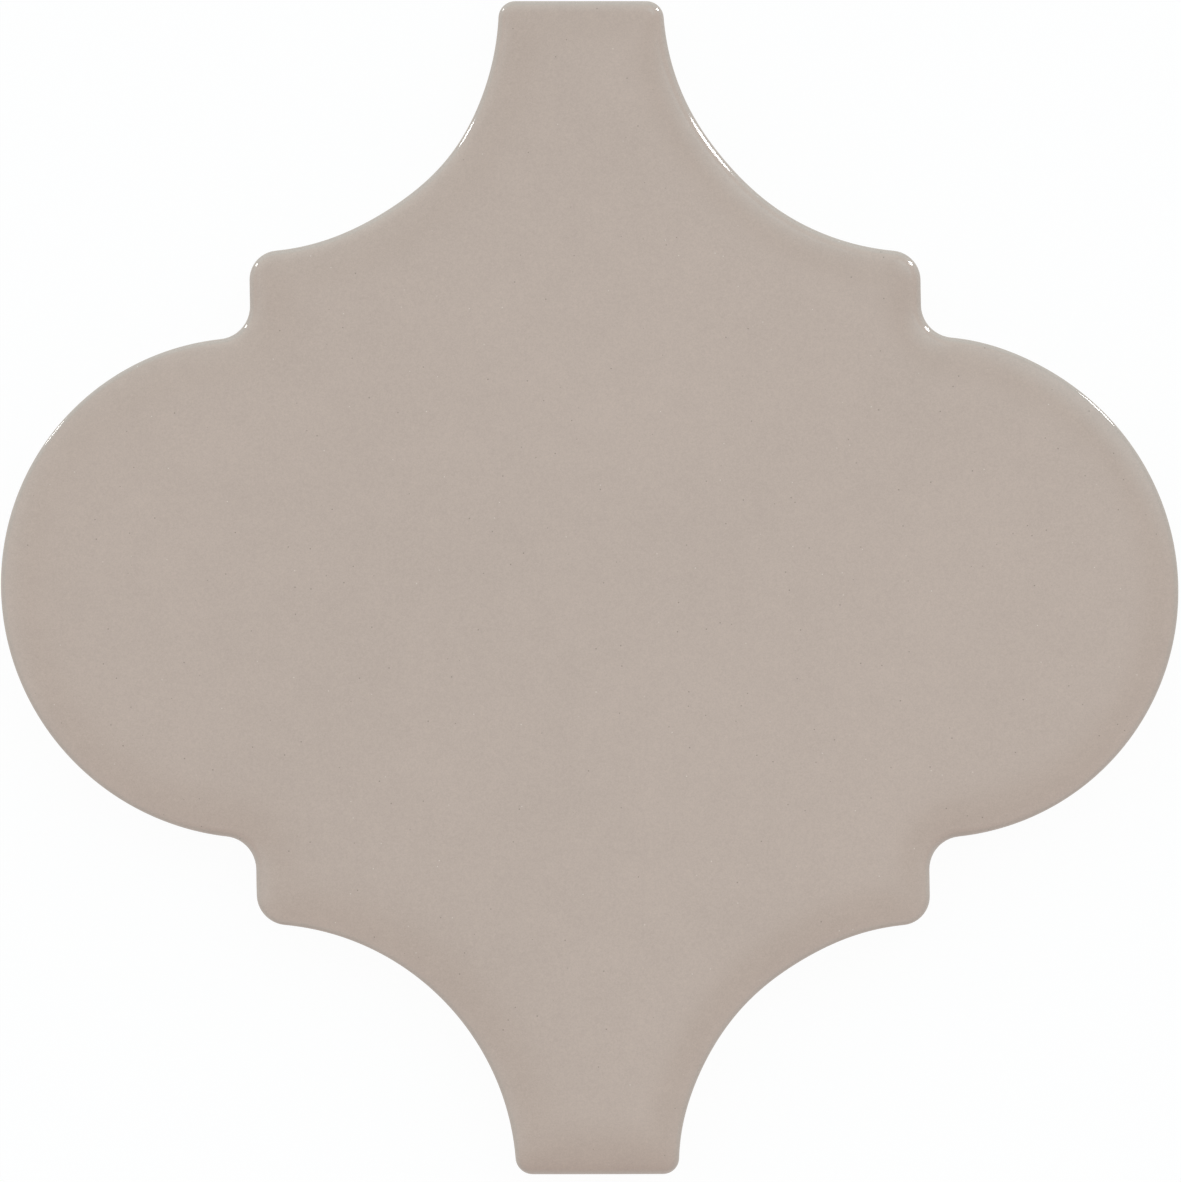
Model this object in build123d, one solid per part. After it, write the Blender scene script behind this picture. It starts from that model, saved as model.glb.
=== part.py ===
from build123d import *

import os
from math import ceil, copysign, radians, tan

# A glazed ceramic wall tile in the lantern shape, pressed and fired as one piece.
#
# The tile lies on its back with the glazed face up. The origin is the middle of the back,
# +X is to the tile's right, +Y towards its head and +Z out of the glaze. Millimetres.
#
# The outline is one S-curve drawn four times: a hollow flank beside each neck, an upright
# shoulder, and a lobe. The flank and the lobe have nearly the same radius, so the lobe of one
# tile sits in the hollow of the next.

# Outline, across the whole tile. Shoulder sizes run to the sharp corners.
WIDTH = 120.0  # from lobe tip to lobe tip
HEIGHT = 119.6  # from the end of one neck to the end of the other
NECK_WIDTH = 16.75  # of each neck at its end
SHOULDER_WIDTH = 68.4  # between the two upright shoulders
SHOULDER_HEIGHT = 68.5  # between the upper and lower shoulder corners
SHOULDER_STEP = 8.75  # upright from a shoulder's corner to the notch beside the lobe
LEAN = 1.8  # how far the foot stands to the right of the head, a warp of the pressing

# Rounding of the outline's corners
NECK_RADIUS = 1.75
SHOULDER_RADIUS = 3.0
NOTCH_RADIUS = 3.4

# Section: a flat middle, a cushion that falls towards the edge, a round rim and upright sides
THICKNESS = 8.5
CUSHION_BAND = 4.0  # width of the cushion all along the edge
CUSHION_FALL = 0.45
FLAT_RADIUS = 0.6  # least rounding of the flat middle's outward corners
RIM_RADIUS = 0.8
RIM_SHARE = 0.85  # of the neck's corner radius, the most that the rim may round
BACK_BEVEL = 0.5  # arris that the press leaves round the back

# Keyed back: parallel grooves with sloping walls, inside a plain border
BACK_BORDER = 5.5
GROOVE_PITCH = 7.0
GROOVE_WIDTH = 3.8  # at the mouth
GROOVE_DEPTH = 0.7
GROOVE_SLOPE = 30.0  # of the walls away from upright, in degrees


def leaned(x, y):
    """A point of the upright outline, shifted sideways by the tile's lean."""
    return (x - LEAN * y / HEIGHT, y)


def lantern():
    """The lantern outline as a face with sharp corners, and those corners by kind."""
    neck = NECK_WIDTH / 2
    shoulder = SHOULDER_WIDTH / 2
    shoulder_y = SHOULDER_HEIGHT / 2
    notch_y = shoulder_y - SHOULDER_STEP

    edges = []
    corners = {"neck": [], "shoulder": [], "notch": []}
    for end in (1, -1):
        for side in (1, -1):
            neck_end = leaned(side * neck, end * HEIGHT / 2)
            shoulder_corner = leaned(side * shoulder, end * shoulder_y)
            notch = leaned(side * shoulder, end * notch_y)
            lobe_tip = leaned(side * WIDTH / 2, 0)
            towards_end = leaned(0, end * HEIGHT)
            towards_middle = leaned(0, -end * HEIGHT)
            edges += [
                TangentArc(neck_end, shoulder_corner, tangent=towards_middle),
                Line(shoulder_corner, notch),
                TangentArc(lobe_tip, notch, tangent=towards_end),
            ]
            corners["neck"].append(neck_end)
            corners["shoulder"].append(shoulder_corner)
            corners["notch"].append(notch)
        edges.append(Line(leaned(-neck, end * HEIGHT / 2), leaned(neck, end * HEIGHT / 2)))
    return make_face(edges), corners


def inside(face, border):
    """The face drawn in by a border of even width, with its corners kept sharp."""
    return offset(face, -border, kind=Kind.INTERSECTION)


def rounded(face, corners, radii, border=0.0):
    """The face with its corners rounded, each by the radius for its kind.

    The corners are the outline's own. A face inside a border has them about that much
    nearer to the middle, across and along the tile.
    """
    for kind, places in corners.items():
        vertices = face.vertices()
        chosen = []
        for x, y in places:
            near = (x - copysign(border, x), y - copysign(border, y))
            chosen.append(vertices.sort_by_distance(near)[0])
        face = fillet(chosen, radii[kind])
    return face


def pressed_body():
    """The upright sides with the cushioned face on top, a round rim and a bevelled back."""
    outline, corners = lantern()
    edge_radii = {"neck": NECK_RADIUS, "shoulder": SHOULDER_RADIUS, "notch": NOTCH_RADIUS}
    flat_radii = {
        "neck": max(NECK_RADIUS - CUSHION_BAND, FLAT_RADIUS),
        "shoulder": max(SHOULDER_RADIUS - CUSHION_BAND, FLAT_RADIUS),
        "notch": NOTCH_RADIUS + CUSHION_BAND,
    }
    edge = rounded(outline, corners, edge_radii)
    flat = rounded(inside(outline, CUSHION_BAND), corners, flat_radii, CUSHION_BAND)

    eave = THICKNESS - CUSHION_FALL
    sides = extrude(edge, eave)
    cushion = loft([Pos(0, 0, eave) * edge, Pos(0, 0, THICKNESS) * flat], ruled=True)
    body = sides + cushion
    # The eave's edges lie under the cushion's slanting ones, which lie under the flat's
    eave_edges, _, _ = body.edges().group_by(Axis.Z)[-3:]
    body = fillet(eave_edges, min(RIM_RADIUS, RIM_SHARE * NECK_RADIUS))
    arris = body.faces().sort_by(Axis.Z)[0].edges()
    return chamfer(arris, BACK_BEVEL)


def back_grooves():
    """The grooves that key the back into its adhesive, with a rib along the tile's middle."""
    outline, _ = lantern()
    narrowing = GROOVE_DEPTH * tan(radians(GROOVE_SLOPE))
    section = Polygon(
        (-GROOVE_WIDTH / 2, 0),
        (GROOVE_WIDTH / 2, 0),
        (GROOVE_WIDTH / 2 - narrowing, GROOVE_DEPTH),
        (-GROOVE_WIDTH / 2 + narrowing, GROOVE_DEPTH),
        align=None,
    )
    groove = extrude(Plane.YZ * section, WIDTH / 2, both=True)
    rows = ceil((HEIGHT / 2 - BACK_BORDER) / GROOVE_PITCH)
    places = [side * (row + 0.5) * GROOVE_PITCH for row in range(rows) for side in (-1, 1)]
    grooves = Part() + [Pos(0, y, 0) * groove for y in places]
    return extrude(inside(outline, BACK_BORDER), GROOVE_DEPTH) & grooves


os.makedirs("parts", exist_ok=True)
tile = pressed_body() - back_grooves()
export_step(tile.solid(), "parts/lantern_tile.step")
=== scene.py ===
from math import atan2, cos, gamma, pi, radians, sin, sqrt

import bmesh
import bpy
import numpy as np
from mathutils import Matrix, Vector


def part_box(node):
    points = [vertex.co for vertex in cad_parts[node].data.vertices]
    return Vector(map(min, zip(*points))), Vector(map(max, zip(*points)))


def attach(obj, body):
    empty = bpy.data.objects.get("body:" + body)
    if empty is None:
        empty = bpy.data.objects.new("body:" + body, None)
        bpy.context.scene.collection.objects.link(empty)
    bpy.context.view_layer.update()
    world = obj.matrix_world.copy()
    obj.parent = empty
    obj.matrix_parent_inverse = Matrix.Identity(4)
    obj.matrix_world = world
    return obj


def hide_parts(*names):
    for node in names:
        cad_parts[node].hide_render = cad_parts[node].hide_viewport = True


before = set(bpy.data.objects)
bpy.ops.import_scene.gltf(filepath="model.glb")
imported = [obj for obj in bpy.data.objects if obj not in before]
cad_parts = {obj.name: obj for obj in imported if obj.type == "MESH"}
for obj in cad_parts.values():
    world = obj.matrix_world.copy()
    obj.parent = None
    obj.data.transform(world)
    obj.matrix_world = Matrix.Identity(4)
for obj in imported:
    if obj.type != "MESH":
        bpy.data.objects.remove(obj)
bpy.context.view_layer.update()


# The tile: pressed from pale clay, glazed on its face and fired, all one piece.
# The glaze is fused to the clay. It rolls over the rim and ends on the sides in a wavy line,
# below which the clay is bare. The back is keyed with grooves that hold the adhesive.

MM = 0.001

tile_low, tile_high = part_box("lantern_tile")
HALF_WIDTH = (tile_high.x - tile_low.x) / 2
HALF_HEIGHT = (tile_high.y - tile_low.y) / 2
THICKNESS = tile_high.z

# Outline, measured from the tile's middle to the sharp corners
HALF_NECK = 8.375 * MM
HALF_SHOULDER = 34.2 * MM
SHOULDER_Y = 34.25 * MM
NOTCH_Y = 25.5 * MM
NECK_FILLET = 1.75 * MM
SHOULDER_FILLET = 3.0 * MM
NOTCH_FILLET = 3.4 * MM
LEAN = 1.8 * MM  # how far the foot stands to the right of the head

# Places on the edge, in mm, where it stands out from the true outline, or in where negative
OUT_OF_TRUE = [
    (14.5, 43.5, 0.19),
    (39, 25, 0.17),
    (21, -38, 0.2),
    (8.8, -56, -0.2),
    (-34.2, -29.5, 0.22),
    (-21, 38, 0.15),
    (-13.5, 44.5, -0.17),
]
OUT_OF_TRUE_REACH = 4.5 * MM

# Section through the edge
BACK_BEVEL = 0.5 * MM
GLAZE_THICKNESS = 0.2 * MM
LIP_HEIGHT = 0.26 * MM  # of the glaze's rounded end
RUN_LINE = 3.0 * MM  # mean height at which the glaze ends on the sides
RUN_WAVE = 0.55 * MM
LONG_RUN = 14 * MM  # wavelengths of that line
SHORT_RUN = 5 * MM
RIM_WIDTH = 1.1 * MM  # the rim is a quarter of an ellipse, wider than high
RIM_HEIGHT = 0.6 * MM
SHARP_RIM_WIDTH = 0.42 * MM  # the same round the lobes and below the lower shoulders
SHARP_RIM_HEIGHT = 0.3 * MM
CUSHION_DEPTH = 0.5 * MM  # fall of the cushioned face at the edge, if it had no rim
CUSHION_LENGTH = 2.3 * MM  # distance over which that fall fades by a factor of e
HEAD_RISE = 0.26 * MM  # how much less the face falls at the head's end
FOOT_FALL = 0.8 * MM  # how much more it falls at the foot's end
END_LENGTH = 1.2 * MM  # distance over which those two fade

# Keyed back
BACK_BORDER = 5.5 * MM
GROOVE_PITCH = 7.0 * MM
GROOVE_WIDTH = 3.8 * MM
GROOVE_DEPTH = 0.7 * MM
GROOVE_WALL = 0.404 * MM  # width of a groove's sloping wall

# Fineness of the mesh
FILLET_STEPS = 12
ARC_STEPS = 80
UPRIGHT_STEPS = 6
LIP_STEPS = 5
RIM_STEPS = 14
FACE_ROWS = 46
FACE_CROWDING = 1.7  # power that draws the face's rows towards the rim
SEAM_SHARE = 0.85  # length of the seam where they meet, as a share of the tile's
FIELD_COLUMNS = 6
BORDER_COLUMNS = 5
SAME_POINT = 0.0005 * MM  # points closer than this are one
SHORTEST_EDGE = 0.0002 * MM
CREASE = radians(28)  # a sharper turn between two faces shows as an edge


def arc_radius(run, rise):
    """Radius of an arc that is upright at one end: (run squared + rise squared) / (2 run)."""
    return (run**2 + rise**2) / (2 * run)


FLANK_RADIUS = arc_radius(HALF_SHOULDER - HALF_NECK, HALF_HEIGHT - SHOULDER_Y)
FLANK_X = HALF_NECK + FLANK_RADIUS  # the hollow flank's centre, level with the neck's end
LOBE_RADIUS = arc_radius(HALF_WIDTH - HALF_SHOULDER, NOTCH_Y)
LOBE_X = HALF_WIDTH - LOBE_RADIUS  # the lobe's centre, level with its tip


def round_stretch(centre, radius, start, end, steps, facing):
    """A round stretch of the edge: the centre plus the radius, turned evenly from start to end.

    The outward normal lies along the radius. It faces away from the centre of a full stretch
    (facing 1) and towards the centre of a hollow one (facing -1).
    """
    angle = np.linspace(start, end, steps)
    ray = np.stack([np.cos(angle), np.sin(angle)], axis=1)
    return np.hstack([np.array(centre) + radius * ray, facing * ray])


def quarter_edge():
    """Places and outward normals along a quarter of the edge, from the neck's end to the lobe's tip.

    A fillet that touches an arc has its centre at the sum of both radii from the arc's centre, and
    at its own radius from the straight stretch beside it.
    """
    neck_reach = sqrt((FLANK_RADIUS + NECK_FILLET) ** 2 - NECK_FILLET**2)
    neck_centre = (FLANK_X - neck_reach, HALF_HEIGHT - NECK_FILLET)
    neck_turn = atan2(NECK_FILLET, neck_reach)

    shoulder_x = HALF_SHOULDER - SHOULDER_FILLET
    shoulder_reach = sqrt((FLANK_RADIUS + SHOULDER_FILLET) ** 2 - (FLANK_X - shoulder_x) ** 2)
    shoulder_centre = (shoulder_x, HALF_HEIGHT - shoulder_reach)
    shoulder_turn = atan2(shoulder_reach, FLANK_X - shoulder_x)

    notch_x = HALF_SHOULDER + NOTCH_FILLET
    notch_reach = sqrt((LOBE_RADIUS + NOTCH_FILLET) ** 2 - (notch_x - LOBE_X) ** 2)
    notch_centre = (notch_x, notch_reach)
    notch_turn = atan2(notch_reach, notch_x - LOBE_X)

    upright = np.zeros((UPRIGHT_STEPS, 4))
    upright[:] = HALF_SHOULDER, 0, 1, 0
    upright[:, 1] = np.linspace(shoulder_centre[1], notch_reach, UPRIGHT_STEPS)

    flank_ends = (pi + neck_turn, pi + shoulder_turn)
    return np.vstack(
        [
            round_stretch(neck_centre, NECK_FILLET, pi / 2, neck_turn, FILLET_STEPS, 1),
            round_stretch((FLANK_X, HALF_HEIGHT), FLANK_RADIUS, *flank_ends, ARC_STEPS, -1),
            round_stretch(shoulder_centre, SHOULDER_FILLET, shoulder_turn, 0, FILLET_STEPS, 1),
            upright,
            round_stretch(notch_centre, NOTCH_FILLET, pi, pi + notch_turn, FILLET_STEPS, -1),
            round_stretch((LOBE_X, 0), LOBE_RADIUS, notch_turn, 0, ARC_STEPS, 1),
        ]
    )


def groove_levels():
    """Heights, along the tile, at which the keyed back bends: four for each groove, and its border."""
    count = int(np.ceil((HALF_HEIGHT - BACK_BORDER) / GROOVE_PITCH))
    middles = (np.arange(-count, count) + 0.5) * GROOVE_PITCH
    bends = np.array([-1, 1]) * GROOVE_WIDTH / 2
    bends = np.concatenate([bends, bends - np.sign(bends) * GROOVE_WALL])
    field_end = HALF_HEIGHT - BACK_BORDER
    levels = (middles[:, None] + bends[None, :]).ravel()
    levels = levels[np.abs(levels) < field_end - GROOVE_WALL]
    ends = np.array([field_end, field_end - GROOVE_WALL])
    return np.concatenate([levels, ends, -ends])


def groove_depth(x, y, field):
    """Depth of the keyed back: a trapezoid wave along y, cut off at the border by sloping walls.

    It is the depth times the least of three ramps, each from 0 to 1 over a wall's width.
    """
    beside_middle = np.abs(np.mod(y, GROOVE_PITCH) - GROOVE_PITCH / 2)
    over_groove = (GROOVE_WIDTH / 2 - beside_middle) / GROOVE_WALL
    inside_end = (HALF_HEIGHT - BACK_BORDER - np.abs(y)) / GROOVE_WALL
    inside_side = (field - np.abs(x)) / GROOVE_WALL
    ramp = np.minimum(np.minimum(over_groove, inside_end), inside_side)
    return GROOVE_DEPTH * np.clip(ramp, 0, 1)


def field_half_width(y):
    """Half the width of the keyed field at height y: the sharp outline drawn in by the border.

    It is the wider of the lobe's circle and the neck's part, which ends at the flank's circle or
    at the upright shoulder.
    """
    flank_reach = np.maximum((FLANK_RADIUS + BACK_BORDER) ** 2 - (HALF_HEIGHT - np.abs(y)) ** 2, 0)
    lobe_reach = np.maximum((LOBE_RADIUS - BACK_BORDER) ** 2 - y**2, 0)
    beside_flank = np.minimum(FLANK_X - np.sqrt(flank_reach), HALF_SHOULDER - BACK_BORDER)
    beside_lobe = (LOBE_X + np.sqrt(lobe_reach)) * (lobe_reach > 0)
    return np.maximum(beside_flank, beside_lobe)


def grid_quads(rows, columns, closed, first=0):
    """Quads between neighbouring rows and columns of a grid whose points are numbered row by row."""
    row = np.arange(rows - 1)[:, None] * columns
    column = np.arange(columns if closed else columns - 1)[None, :]
    near = row + column
    far = row + (column + 1) % columns
    return first + np.stack([near, far, far + columns, near + columns], axis=-1).reshape(-1, 4)


def slow_wave(places, length, seed):
    """A smooth wave over the plane, from -1 to 1: the mean of six sines of about that wavelength.

    Their directions, wavelengths and phases are drawn from the seed.
    """
    draw = np.random.default_rng(seed)
    heading = draw.uniform(0, 2 * pi, 6)
    number = 2 * pi / (length * draw.uniform(0.8, 1.6, 6))
    phase = draw.uniform(0, 2 * pi, 6)
    along = places[..., 0, None] * np.cos(heading) + places[..., 1, None] * np.sin(heading)
    return np.sin(along * number + phase).mean(axis=-1)


def distance_from_edge(places, edge):
    """How far places on the face are from the whole edge, smooth even behind its corners.

    It is a power mean: the sum of each edge stretch's length over the distance to the sixth
    power, scaled so that beside a long straight edge it is the plain distance.
    """
    stretch = np.linalg.norm(np.roll(edge, -1, axis=0) - np.roll(edge, 1, axis=0), axis=1) / 2
    power = 6
    straight = sqrt(pi) * gamma((power - 1) / 2) / gamma(power / 2)
    found = []
    for row in places:
        apart = np.sum((row[:, None, :] - edge[None, :, :]) ** 2, axis=-1)
        found.append(np.sum(stretch / apart ** (power / 2), axis=1))
    return (np.array(found) / straight) ** (-1 / (power - 1))


def cushion(distance, y):
    """Fall of the cushioned face below its middle, fading evenly with the distance from the edge.

    A rise at the head and a fall at the foot are added, which fade with the distance along the tile.
    """
    head = HEAD_RISE * np.exp((y - HALF_HEIGHT) / END_LENGTH)
    foot = FOOT_FALL * np.exp((-y - HALF_HEIGHT) / END_LENGTH)
    return CUSHION_DEPTH * np.exp(-distance / CUSHION_LENGTH) - head + foot


# One side of the edge from head to foot, with a level for each bend of the keyed back. The back's
# rows are drawn in by the bevel at head and foot, so their heights are that much smaller.
back_inset = GLAZE_THICKNESS + BACK_BEVEL
drawn_in = (HALF_HEIGHT - back_inset) / HALF_HEIGHT
upper = quarter_edge()
lower = upper[::-1] * (1, -1, 1, -1)
side = np.vstack([upper, lower])
levels = np.concatenate([side[:, 1], groove_levels() / drawn_in])
levels = np.unique(np.round(levels / MM, 3))[::-1] * MM
_, first_at = np.unique(-side[:, 1], return_index=True)
side = side[first_at]
side = np.stack([np.interp(-levels, -side[:, 1], side[:, i]) for i in range(4)], axis=1)
side[:, 1] = levels
side[:, 2:] /= np.linalg.norm(side[:, 2:], axis=1, keepdims=True)

# The back's columns, from the middle to the right edge: even over the keyed field, a groove's end
# wall, and even over the plain border
field = field_half_width(levels * drawn_in)
edge_x = side[:, 0] - back_inset * side[:, 2]
edge_y = side[:, 1] - back_inset * side[:, 3]
over_field = (field - GROOVE_WALL)[:, None] * np.linspace(0, 1, FIELD_COLUMNS)
share = np.linspace(0, 1, BORDER_COLUMNS)
over_border = field[:, None] * (1 - share) + edge_x[:, None] * share
half_x = np.hstack([over_field, over_border])
row_y = (levels * drawn_in)[:, None]
half_y = np.hstack([row_y + 0 * over_field, row_y * (1 - share) + edge_y[:, None] * share])
back_x = np.hstack([-half_x[:, :0:-1], half_x])
back_y = np.hstack([half_y[:, :0:-1], half_y])
back_z = groove_depth(back_x, back_y, field[:, None])
back = np.stack([back_x, back_y, back_z], axis=-1)

# The whole edge: down the right side, along the foot, up the left side and along the head
end_x = back_x[0, 1:-1]
head = np.zeros((len(end_x), 4))
head[:] = 0, HALF_HEIGHT, 0, 1
head[:, 0] = end_x
foot = head[::-1] * (1, -1, 1, -1)
ring = np.vstack([side, foot, side[::-1] * (-1, 1, -1, 1), head])
edge = ring[:, :2]
normal = ring[:, 2:]

# Rows round the sides: the back's bevel, the bare clay, the round lip of the glaze, the glaze above
# it and the rim. Each row has a distance in from the edge and a height.
wander = slow_wave(edge, LONG_RUN, seed=3) + 0.5 * slow_wave(edge, SHORT_RUN, seed=4)
run_line = RUN_LINE + RUN_WAVE * wander
turn = np.linspace(0, pi / 2, LIP_STEPS)[:, None]
lip_inset = GLAZE_THICKNESS * (1 - np.sin(turn)) + 0 * run_line
lip_height = run_line + LIP_HEIGHT * (1 - np.cos(turn))

along_lobe = np.interp(np.abs(edge[:, 0]), [HALF_SHOULDER, (HALF_SHOULDER + HALF_WIDTH) / 2], [0, 1])
along_foot = np.interp(-edge[:, 1], [NOTCH_Y, SHOULDER_Y], [0, 1])
sharp = np.maximum(along_lobe, along_foot)
rim_width = RIM_WIDTH + (SHARP_RIM_WIDTH - RIM_WIDTH) * sharp
rim_rise = RIM_HEIGHT + (SHARP_RIM_HEIGHT - RIM_HEIGHT) * sharp
inner_edge = edge - rim_width[:, None] * normal
inner_distance = distance_from_edge(inner_edge[None], edge)[0]
turn = np.linspace(0, pi / 2, RIM_STEPS)[:, None]
rim_inset = rim_width * (1 - np.cos(turn))
rim_distance = inner_distance - rim_width + rim_inset
rim_fall = cushion(rim_distance, edge[:, 1] - rim_inset * normal[:, 1])
rim_height = THICKNESS - rim_rise * (1 - np.sin(turn)) - rim_fall

level = np.ones_like(run_line)
clay_inset = np.array([back_inset * level, GLAZE_THICKNESS * level, GLAZE_THICKNESS * level])
clay_height = np.array([0 * level, BACK_BEVEL * level, (BACK_BEVEL + run_line) / 2])
wall_share = np.array([1 / 3, 2 / 3])[:, None]
wall_height = lip_height[-1] * (1 - wall_share) + rim_height[0] * wall_share
inset = np.vstack([clay_inset, lip_inset, 0 * wall_height, rim_inset])
height = np.vstack([clay_height, lip_height, wall_height, rim_height])
sides_xy = edge - inset[:, :, None] * normal
sides = np.concatenate([sides_xy, height[:, :, None]], axis=-1)

# Rows over the face, closer near the rim, to a seam along the tile's middle
share = np.linspace(0, 1, FACE_ROWS + 1)[1:, None] ** FACE_CROWDING
face_x = inner_edge[:, 0] * (1 - share)
face_y = inner_edge[:, 1] * (1 - (1 - SEAM_SHARE) * share)
face_xy = np.stack([face_x, face_y], axis=-1)
face_distance = distance_from_edge(face_xy, edge)
face_height = THICKNESS - cushion(face_distance, face_y)
face = np.concatenate([face_xy, face_height[:, :, None]], axis=-1)

shell = np.concatenate([sides, face])
points = np.concatenate([shell.reshape(-1, 3), back.reshape(-1, 3)])
distance = np.concatenate([inset.ravel(), face_distance.ravel(), np.zeros(back_x.size)])
shell_quads = grid_quads(len(shell), len(edge), True)
back_quads = grid_quads(*back_x.shape, False, shell[..., 0].size)
quads = np.concatenate([shell_quads, back_quads])
bare = np.ones(len(quads), np.int32)
bare[len(clay_inset) * len(edge) : len(shell_quads)] = 0

# The pressing is out of true. The edge stands out or in at a few places along it, and the foot
# stands to the right of the head.
for x, y, shift in OUT_OF_TRUE:
    apart = np.sum((points[:, :2] - (x * MM, y * MM)) ** 2, axis=1)
    nearest = np.argmin(np.sum((edge - (x * MM, y * MM)) ** 2, axis=1))
    drawn = shift * MM * np.exp(-apart / (2 * OUT_OF_TRUE_REACH**2))
    points[:, :2] += drawn[:, None] * normal[nearest]
points[:, 0] -= LEAN * points[:, 1] / (2 * HALF_HEIGHT)

mesh = bpy.data.meshes.new("lantern_tile_glazed")
mesh.from_pydata(points.tolist(), [], quads.tolist())
mesh.polygons.foreach_set("material_index", bare)
mesh.attributes.new("edge_distance", "FLOAT", "POINT").data.foreach_set("value", distance / MM)
shape = bmesh.new()
shape.from_mesh(mesh)
bmesh.ops.remove_doubles(shape, verts=shape.verts, dist=SAME_POINT)
bmesh.ops.dissolve_degenerate(shape, edges=shape.edges, dist=SHORTEST_EDGE)
bmesh.ops.recalc_face_normals(shape, faces=shape.faces)
shape.to_mesh(mesh)
shape.free()
mesh.shade_smooth()
mesh.set_sharp_from_angle(angle=CREASE)

tile = bpy.data.objects.new("lantern_tile_glazed", mesh)
bpy.context.scene.collection.objects.link(tile)
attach(tile, "root")
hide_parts("lantern_tile")


def join(tree, socket, value):
    """Link a node's output to a socket, or set the socket to a plain value."""
    if isinstance(value, bpy.types.NodeSocket):
        tree.links.new(value, socket)
    else:
        socket.default_value = value


def add_node(tree, kind, settings=None, **inputs):
    """A node of that kind, with its settings, and its inputs set to values or linked to outputs."""
    node = tree.nodes.new(kind)
    for name, value in (settings or {}).items():
        setattr(node, name, value)
    for name, value in inputs.items():
        join(tree, node.inputs[name.replace("_", " ")], value)
    return node


def maths(tree, operation, *values):
    """Several values taken together by a node operation, one after another: their sum, for one."""
    result = values[0]
    for value in values[1:]:
        node = add_node(tree, "ShaderNodeMath", {"operation": operation})
        join(tree, node.inputs[0], result)
        join(tree, node.inputs[1], value)
        result = node.outputs["Value"]
    return result


def vector_maths(tree, operation, one, other):
    """Two vectors or colours taken together by a node operation."""
    node = add_node(tree, "ShaderNodeVectorMath", {"operation": operation})
    join(tree, node.inputs[0], one)
    join(tree, node.inputs[1], other)
    return node.outputs["Value" if operation == "DOT_PRODUCT" else "Vector"]


def shaded(tree, colour, value):
    """A colour multiplied by a node value."""
    node = add_node(tree, "ShaderNodeVectorMath", {"operation": "SCALE"}, Vector=colour, Scale=value)
    return node.outputs["Vector"]


def new_material(name):
    """An empty node material: its tree and its object coordinates."""
    material = bpy.data.materials.new(name)
    material.use_nodes = True
    tree = material.node_tree
    tree.nodes.clear()
    return material, tree, add_node(tree, "ShaderNodeTexCoord").outputs["Object"]


def noise(tree, place, size, detail):
    """Plain noise with specks of about that size in metres."""
    return add_node(tree, "ShaderNodeTexNoise", Vector=place, Scale=1 / size, Detail=detail).outputs[0]


def grain(tree, place, size, low, high, detail=2.0):
    """Noise with specks of about that size, spread between low and high."""
    spread = add_node(
        tree, "ShaderNodeMapRange", Value=noise(tree, place, size, detail),
        From_Min=0.3, From_Max=0.7, To_Min=low, To_Max=high,
    )
    return spread.outputs["Result"]


def dotted(tree, place, under, over, spacing, radius, cover=0.8):
    """A colour with small round dots of another one, spread unevenly at about that spacing.

    A dot hides that share of the colour under it, and fades over the outer half of its radius.
    """
    cells = add_node(tree, "ShaderNodeTexVoronoi", Vector=place, Scale=1 / spacing)
    dot = add_node(
        tree, "ShaderNodeMapRange", Value=cells.outputs["Distance"],
        From_Min=radius / spacing / 2, From_Max=radius / spacing, To_Min=cover, To_Max=0.0,
    )
    both = add_node(tree, "ShaderNodeMix", {"data_type": "RGBA"}, Factor=dot.outputs["Result"])
    join(tree, both.inputs[6], under)
    join(tree, both.inputs[7], (*over, 1))
    return both.outputs[2]


# The glaze: taupe and glossy, a little mottled, with a painted cool sheen on the rim and painted
# shade just inside it, dark pin specks that also paint the shade in tiny pits, and painted glints
GLAZE_COLOUR = (0.536, 0.4005, 0.3385)
MOTTLE = [(22, 0.015), (4, 0.012), (1.2, 0.011), (0.4, 0.018), (0.15, 0.05)]  # size in mm, strength
PAINTED_COOL_SHEEN = (0.95, 1.01, 1.03, 1)  # painted cool sheen: the change of colour at the very edge
EVEN_GLAZE = (1, 1, 1, 1)
# painted shade: a little darker colour just inside the rim
PAINTED_RIM_SHADE = (0.985, 0.98, 0.975, 1)
PAINTED_RIM_LIGHT = [  # the painted light and shade at distances from the edge, in mm
    (0.18, PAINTED_COOL_SHEEN),
    (0.6, EVEN_GLAZE),
    (1.62, PAINTED_RIM_SHADE),
    (2.7, PAINTED_RIM_SHADE),
    (5.4, EVEN_GLAZE),
]
PAINTED_RIM_LIGHT_END = 6.0  # mm
# Dark pin specks, which also stand in as painted shade in tiny pits
PIN_AND_SHADE_COLOUR = (0.26, 0.20, 0.165)
PIN_AND_SHADE_SPACING = 1.6 * MM
PIN_AND_SHADE_RADIUS = 0.09 * MM
# Pale dots are painted glints: light caught in tiny pits in the glaze
PAINTED_GLINT_COLOUR = (0.80, 0.70, 0.63)
PAINTED_GLINT_SPACING = 1.7 * MM
PAINTED_GLINT_RADIUS = 0.07 * MM
RIPPLE_LENGTH = 3.5 * MM
RIPPLE_DEPTH = 0.004 * MM

glaze, tree, place = new_material("taupe_glaze")
layers = [grain(tree, place, size * MM, 1 - strength, 1 + strength) for size, strength in MOTTLE]
mottle = maths(tree, "MULTIPLY", *layers)
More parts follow.
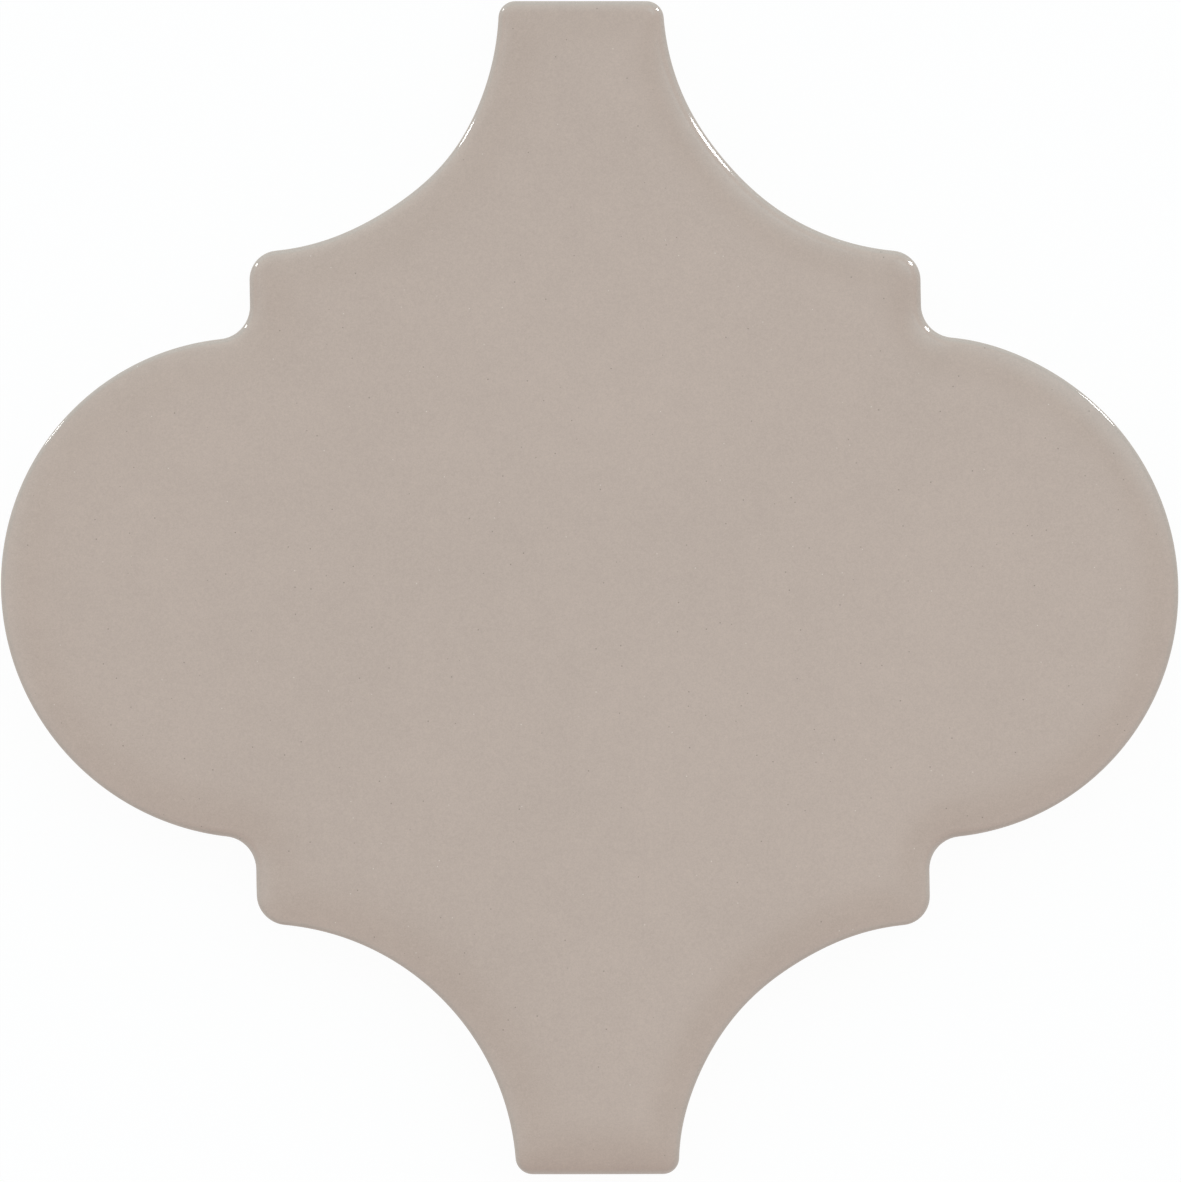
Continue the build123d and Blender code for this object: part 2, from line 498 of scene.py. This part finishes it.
# A ramp over the distance from the edge paints a cool sheen on the rim and shade just inside it.
inside_edge = add_node(tree, "ShaderNodeAttribute", {"attribute_name": "edge_distance"})
across_painted_rim_light = add_node(
    tree, "ShaderNodeMapRange", Value=inside_edge.outputs["Fac"],
    From_Min=0.0, From_Max=PAINTED_RIM_LIGHT_END, To_Min=0.0, To_Max=1.0,
)
spread = add_node(tree, "ShaderNodeValToRGB", Fac=across_painted_rim_light.outputs["Result"])
spread.color_ramp.interpolation = "EASE"
stops = spread.color_ramp.elements
for millimetres, change in PAINTED_RIM_LIGHT:
    stops.new(millimetres / PAINTED_RIM_LIGHT_END).color = change
for own_stop in (stops[-1], stops[0]):
    stops.remove(own_stop)
glaze_with_rim_light = vector_maths(tree, "MULTIPLY", spread.outputs["Color"], GLAZE_COLOUR)
tone = shaded(tree, glaze_with_rim_light, mottle)
# Dark pin specks, partly painted shade in tiny pits
pinned_and_shaded = dotted(tree, place, tone, PIN_AND_SHADE_COLOUR, PIN_AND_SHADE_SPACING, PIN_AND_SHADE_RADIUS)
# Painted glints over the glaze
colour = dotted(tree, place, pinned_and_shaded, PAINTED_GLINT_COLOUR, PAINTED_GLINT_SPACING, PAINTED_GLINT_RADIUS)
ripple = noise(tree, place, RIPPLE_LENGTH, detail=1.0)
bump = add_node(tree, "ShaderNodeBump", Strength=0.3, Distance=RIPPLE_DEPTH, Height=ripple)
gloss = add_node(
    tree, "ShaderNodeBsdfPrincipled", Base_Color=colour, IOR=1.55,
    Roughness=grain(tree, place, 5 * MM, 0.05, 0.08), Normal=bump.outputs["Normal"],
)
add_node(tree, "ShaderNodeOutputMaterial", Surface=gloss.outputs["BSDF"])
mesh.materials.append(glaze)

# The bare clay: buff, matt and porous
CLAY_COLOUR = (0.72, 0.59, 0.47)
PORE_SIZE = 0.5 * MM
PORE_DEPTH = 0.05 * MM

clay, tree, place = new_material("bare_clay")
mottle = grain(tree, place, 6 * MM, 0.93, 1.05, detail=3.0)
speckle = grain(tree, place, 0.35 * MM, 0.94, 1.05)
tone = shaded(tree, CLAY_COLOUR, maths(tree, "MULTIPLY", mottle, speckle))
pores = noise(tree, place, PORE_SIZE, detail=3.0)
bump = add_node(tree, "ShaderNodeBump", Strength=0.5, Distance=PORE_DEPTH, Height=pores)
matt = add_node(
    tree, "ShaderNodeBsdfPrincipled", Base_Color=tone, IOR=1.5,
    Roughness=grain(tree, place, 1.5 * MM, 0.82, 0.95), Normal=bump.outputs["Normal"],
)
add_node(tree, "ShaderNodeOutputMaterial", Surface=matt.outputs["BSDF"])
mesh.materials.append(clay)


# The floor: a wide white sheet that the tile lies on. It shows white to the camera and to the
# glaze, and keeps some of the tile's shadow.

FLOOR_HALF = 15.0
FLOOR_DROP = 0.02 * MM
FLOOR_GLOW = 0.95  # share of the floor's white that shadows can't darken
PAPER_COLOUR = (0.95, 0.95, 0.95, 1)

corner = np.array([[-1, -1], [1, -1], [1, 1], [-1, 1]]) * FLOOR_HALF
floor_mesh = bpy.data.meshes.new("white_sheet")
floor_mesh.from_pydata([(x, y, tile_low.z - FLOOR_DROP) for x, y in corner], [], [(0, 1, 2, 3)])
floor = bpy.data.objects.new("white_sheet", floor_mesh)
bpy.context.scene.collection.objects.link(floor)

sheet, tree, place = new_material("white_sheet")
path = add_node(tree, "ShaderNodeLightPath")
rays = [path.outputs[name] for name in ("Is Camera Ray", "Is Glossy Ray", "Is Transmission Ray")]
glow = maths(tree, "MULTIPLY", maths(tree, "MAXIMUM", *rays), FLOOR_GLOW)
paper = add_node(tree, "ShaderNodeBsdfDiffuse", Color=PAPER_COLOUR)
white = add_node(tree, "ShaderNodeEmission", Color=(1, 1, 1, 1), Strength=1.0)
both = add_node(tree, "ShaderNodeMixShader", Fac=glow)
join(tree, both.inputs[1], paper.outputs["BSDF"])
join(tree, both.inputs[2], white.outputs["Emission"])
add_node(tree, "ShaderNodeOutputMaterial", Surface=both.outputs["Shader"])
floor_mesh.materials.append(sheet)


# The light: a pale room, dimmer at the tile's foot, with a panel overhead. A large cool soft box
# above the tile's head and two small cool panels lighten the cushion, and two tall strip lamps
# draw the thin bright lines along the rim.

ROOM = 0.652  # radiance of the room overhead
HORIZON = 0.43  # how much brighter the room is at the tile's own level
HORIZON_POWER = 3.0  # how closely that keeps to the level
COOL_COLOUR = (0.66, 1.05, 1.15)

world = bpy.data.worlds.new("studio")
world.use_nodes = True
bpy.context.scene.world = world
tree = world.node_tree
tree.nodes.clear()
heading = add_node(tree, "ShaderNodeTexCoord").outputs["Generated"]


def from_polar(tilt, azimuth):
    """The unit vector that leans by tilt from straight up towards an azimuth, both in degrees."""
    lean = radians(tilt)
    turn = radians(azimuth)
    return (sin(lean) * cos(turn), sin(lean) * sin(turn), cos(lean))


def soft_panel(tilt, azimuth, inner, outer, radiance):
    """A round patch of light: full within the inner angle of its axis and none past the outer."""
    beside_axis = vector_maths(tree, "DOT_PRODUCT", heading, from_polar(tilt, azimuth))
    patch = add_node(
        tree, "ShaderNodeMapRange", {"interpolation_type": "SMOOTHSTEP"}, Value=beside_axis,
        From_Min=cos(radians(outer)), From_Max=cos(radians(inner)), To_Min=0.0, To_Max=radiance,
    )
    return patch.outputs["Result"]


upward = add_node(tree, "ShaderNodeSeparateXYZ", Vector=heading).outputs["Z"]
below_top = maths(tree, "MINIMUM", maths(tree, "SUBTRACT", 1.0, upward), 1.0)
horizon = maths(tree, "MULTIPLY", maths(tree, "POWER", below_top, HORIZON_POWER), HORIZON)
overhead = soft_panel(tilt=3, azimuth=0, inner=0.5, outer=7.3, radiance=0.3)
dim_foot = soft_panel(tilt=90, azimuth=-90, inner=15, outer=50, radiance=-0.3)
plain = maths(tree, "ADD", horizon, overhead, dim_foot, ROOM)

soft_box = soft_panel(tilt=76, azimuth=95, inner=40, outer=100, radiance=0.5)
panel_right = soft_panel(tilt=26, azimuth=45, inner=4, outer=17, radiance=0.75)
panel_left = soft_panel(tilt=26, azimuth=185, inner=4, outer=17, radiance=0.25)
cool = shaded(tree, COOL_COLOUR, maths(tree, "ADD", soft_box, panel_right, panel_left))

light = vector_maths(tree, "ADD", plain, cool)
background = add_node(tree, "ShaderNodeBackground", Color=light, Strength=1.0)
add_node(tree, "ShaderNodeOutputWorld", Surface=background.outputs["Background"])


def strip_lamp(name, place, width, tall, radiance):
    """An upright strip lamp that faces the tile. Its power is its radiance times pi times its area.

    It is narrow, so only its reflection counts: it adds nothing to the even light.
    """
    lamp = bpy.data.lights.new(name, "AREA")
    lamp.shape = "ELLIPSE"
    lamp.size = width
    lamp.size_y = tall
    lamp.energy = radiance * pi * width * tall
    stand = bpy.data.objects.new(name, lamp)
    stand.location = place
    stand.rotation_euler = (pi / 2, 0, atan2(place[1], place[0]) + pi / 2)
    stand.visible_diffuse = False
    bpy.context.scene.collection.objects.link(stand)


strip_lamp("strip_right", place=(0.257, 0.229, 0.115), width=0.06, tall=0.14, radiance=18)
strip_lamp("strip_left", place=(-0.416, 0.292, 0.075), width=0.06, tall=0.15, radiance=14)


# The camera: straight above the tile, with a long lens, so that it sees the tile's outline flat.
# Its place comes from the pixel at which the photograph shows the tile's middle.

PHOTO_SIZE = (1181, 1182)
TILE_PIXEL = (589.65, 587.8)
PIXELS_PER_MM = 9.8132
LENS = 500
SENSOR = 36

pixel = MM / PIXELS_PER_MM
outline_height = THICKNESS - RIM_HEIGHT
camera = bpy.data.cameras.new("overhead")
camera.lens = LENS
camera.sensor_width = SENSOR
stand = bpy.data.objects.new("overhead", camera)
stand.location = (
    (PHOTO_SIZE[0] / 2 - TILE_PIXEL[0]) * pixel,
    (TILE_PIXEL[1] - PHOTO_SIZE[1] / 2) * pixel,
    outline_height + PHOTO_SIZE[1] * pixel * LENS / SENSOR,
)
bpy.context.scene.collection.objects.link(stand)
bpy.context.scene.camera = stand
bpy.context.scene.view_settings.view_transform = "Standard"
